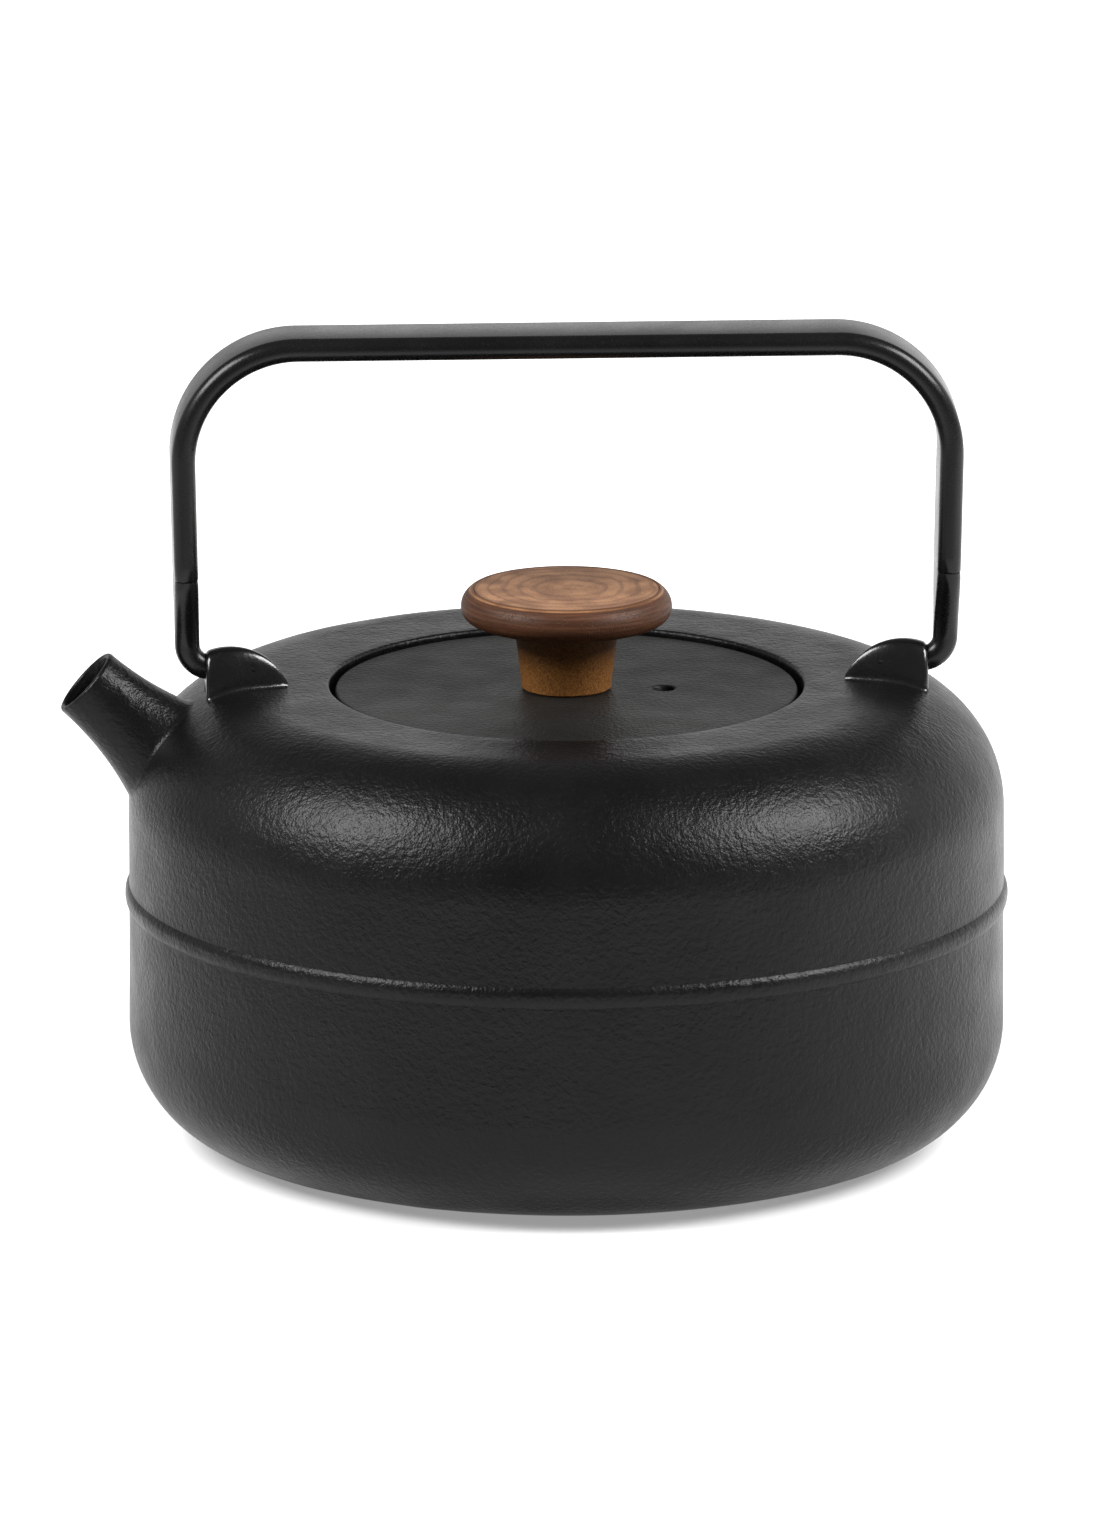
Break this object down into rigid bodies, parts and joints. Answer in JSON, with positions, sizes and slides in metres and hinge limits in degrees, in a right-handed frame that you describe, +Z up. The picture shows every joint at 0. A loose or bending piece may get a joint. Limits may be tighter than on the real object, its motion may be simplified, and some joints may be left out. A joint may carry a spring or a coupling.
{
  "type": "teapot",
  "caption": "Squat black cast iron teapot with a swinging bail handle, recessed lid with a turned wooden knob, short spout and lift-out infuser.",
  "frame": {"origin": "middle of the flat base, on the surface the teapot stands on", "axes": "+Z up; -X towards the spout; the bail handle swings about the X direction; -Y is the front"},
  "size_m": [0.1905, 0.1776, 0.1658],
  "materials": {
    "pot_iron": "satin black cast iron, fine orange-peel texture",
    "lid_iron": "satin dark grey cast iron, fine texture",
    "handle_iron": "smooth satin black",
    "turned_wood": "turned hardwood, oiled, mid to reddish brown",
    "insert_brass": "turned brass",
    "screw_steel": "zinc plated steel",
    "infuser_steel": "brushed stainless sheet"
  },
  "bodies": {
    "pot": {"body_floor": "pot_iron", "body_foot": "pot_iron", "body_wall": "pot_iron", "body_shoulder": "pot_iron", "body_top": "pot_iron", "body_ledge": "pot_iron", "mouth_lip": "pot_iron", "spout": "pot_iron", "lug_left": "pot_iron", "lug_right": "pot_iron"},
    "handle": {"handle_strap": "handle_iron", "handle_end_left": "handle_iron", "handle_end_right": "handle_iron"},
    "infuser": {"infuser_rim": "infuser_steel", "infuser_wall": "infuser_steel", "infuser_base": "infuser_steel"},
    "lid": {"lid_plate": "lid_iron", "lid_skirt": "lid_iron", "knob": "turned_wood", "knob_insert": "insert_brass", "knob_screw": "screw_steel", "knob_washer": "screw_steel"}
  },
  "joints": [
    {"name": "handle_swing", "type": "hinge", "parent": "pot", "child": "handle", "pos_m": [0, 0, 0.097], "axis": [1, 0, 0], "range_deg": [-84, 84]},
    {"name": "infuser_lift", "type": "slide", "parent": "pot", "child": "infuser", "axis": [0, 0, 1], "range_m": [0, 0.042]},
    {"name": "lid_lift", "type": "slide", "parent": "infuser", "child": "lid", "axis": [0, 0, 1], "range_m": [0, 0.042]}
  ]
}
